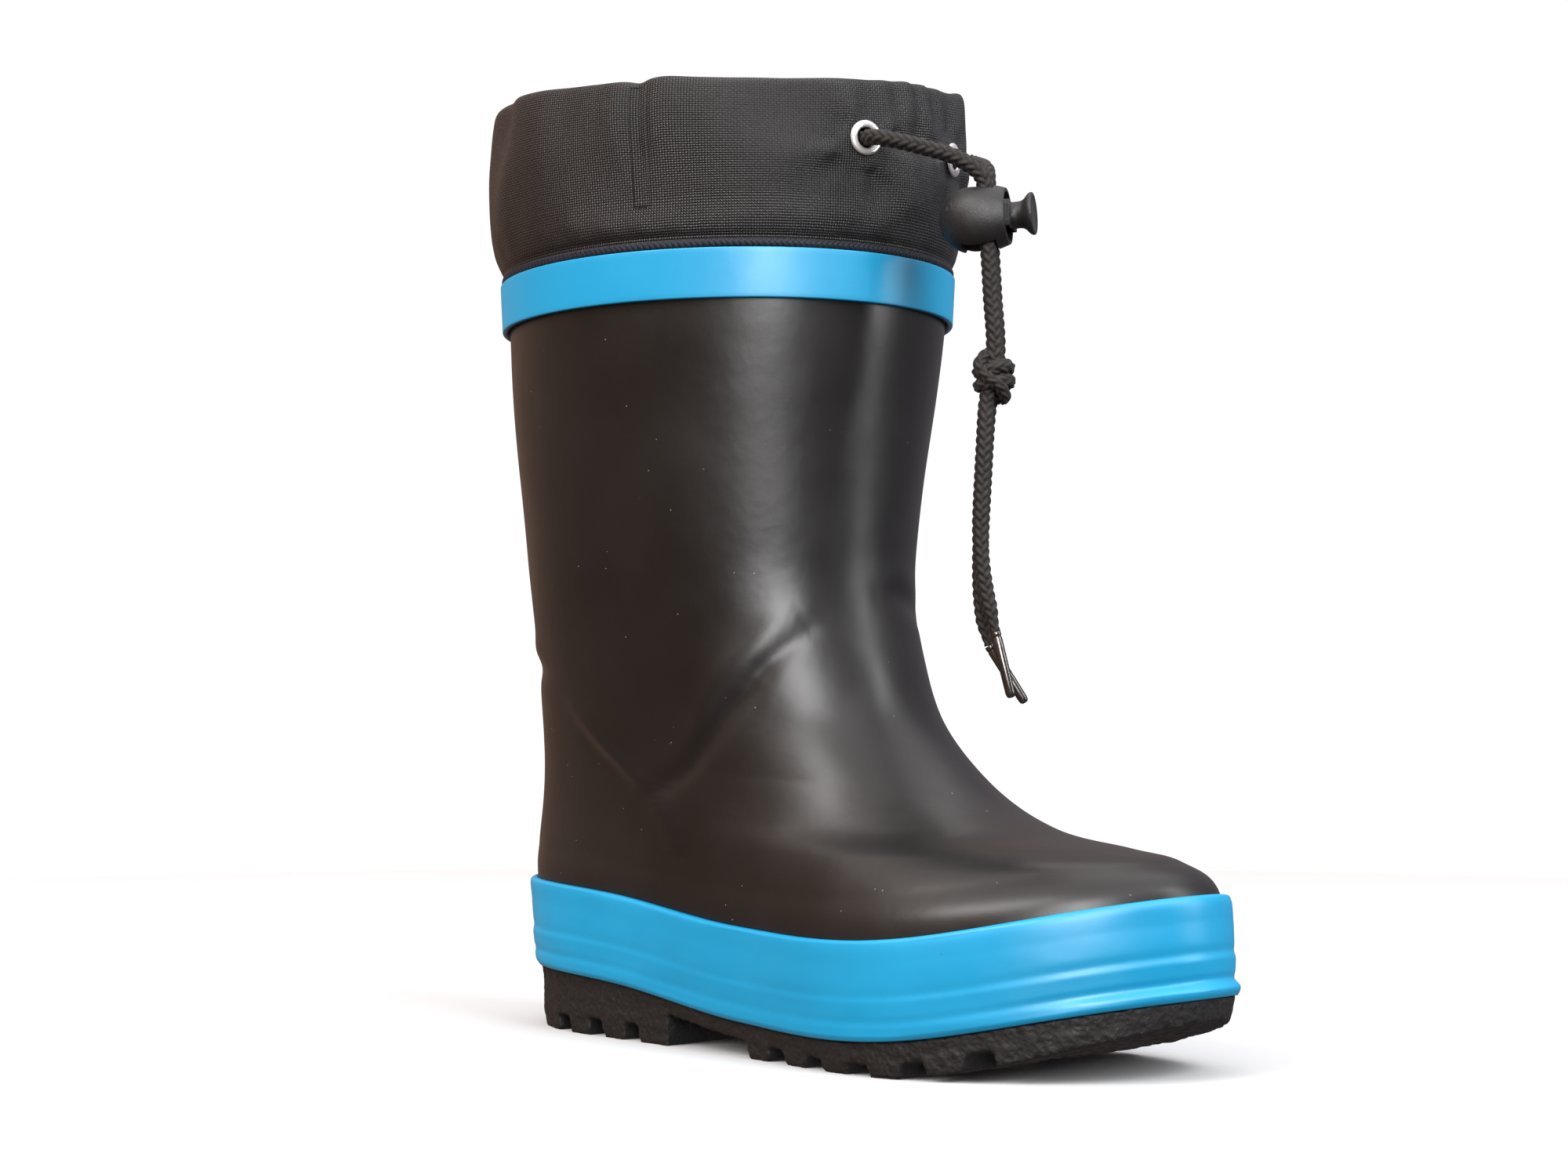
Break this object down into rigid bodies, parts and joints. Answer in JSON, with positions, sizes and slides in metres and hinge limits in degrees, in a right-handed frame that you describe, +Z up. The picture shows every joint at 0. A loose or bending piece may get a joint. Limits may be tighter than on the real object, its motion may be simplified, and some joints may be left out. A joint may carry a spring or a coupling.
{
  "type": "rubber rain boot",
  "caption": "Child's pull-on rubber rain boot for the right foot: lugged outsole, side foxing, top band and a nylon cuff closed by a drawcord with a sprung cord lock.",
  "frame": {"origin": "middle of the footprint at ground level", "axes": "+Z up, -Y towards the toe, -X to the outer side of the right foot"},
  "size_m": [0.1193, 0.2194, 0.247],
  "materials": {
    "leg_rubber": "satin",
    "blue_rubber": "satin",
    "outsole_rubber": "matte, moulded grain",
    "core_rubber": "matte",
    "board": "pressed fibre",
    "footbed_knit": "knitted top on foam",
    "lining_knit": "cotton knit",
    "nylon": "woven nylon, slight sheen",
    "binding": "overlocked edge",
    "cord": "braided",
    "eyelet_metal": "polished",
    "tip_metal": "dark plated",
    "lock_plastic": "fine moulded grain",
    "spring_steel": "drawn wire"
  },
  "bodies": {
    "boot": {"outsole": "outsole_rubber", "sole_core": "core_rubber", "insole_board": "board", "footbed": "footbed_knit", "upper": "leg_rubber", "toe_stiffener": "core_rubber", "heel_stiffener": "core_rubber", "lining": "lining_knit", "foxing": "blue_rubber", "top_band": "blue_rubber", "cuff": "nylon", "cuff_binding": "binding", "cuff_seam": "nylon", "eyelet_right": "eyelet_metal", "eyelet_left": "eyelet_metal", "washer_right": "eyelet_metal", "washer_left": "eyelet_metal", "cord_in_casing": "cord", "strand_right": "cord", "strand_left": "cord", "knot": "cord", "tail_right": "cord", "tail_left": "cord", "tip_right": "tip_metal", "tip_left": "tip_metal"},
    "cord_lock": {"lock_housing": "lock_plastic", "lock_spring": "spring_steel"},
    "button": {"lock_button": "lock_plastic"}
  },
  "joints": [
    {"name": "lock_slide", "type": "slide", "parent": "boot", "child": "cord_lock", "axis": [0.0262, -0.0453, -0.9986], "range_m": [0, 0.019]},
    {"name": "button_press", "type": "slide", "parent": "cord_lock", "child": "button", "axis": [-0.4993, 0.8648, -0.0523], "range_m": [0, 0.0032], "stiffness_N_per_m": 600, "springref_m": -0.003, "deforming": ["lock_spring"]}
  ]
}
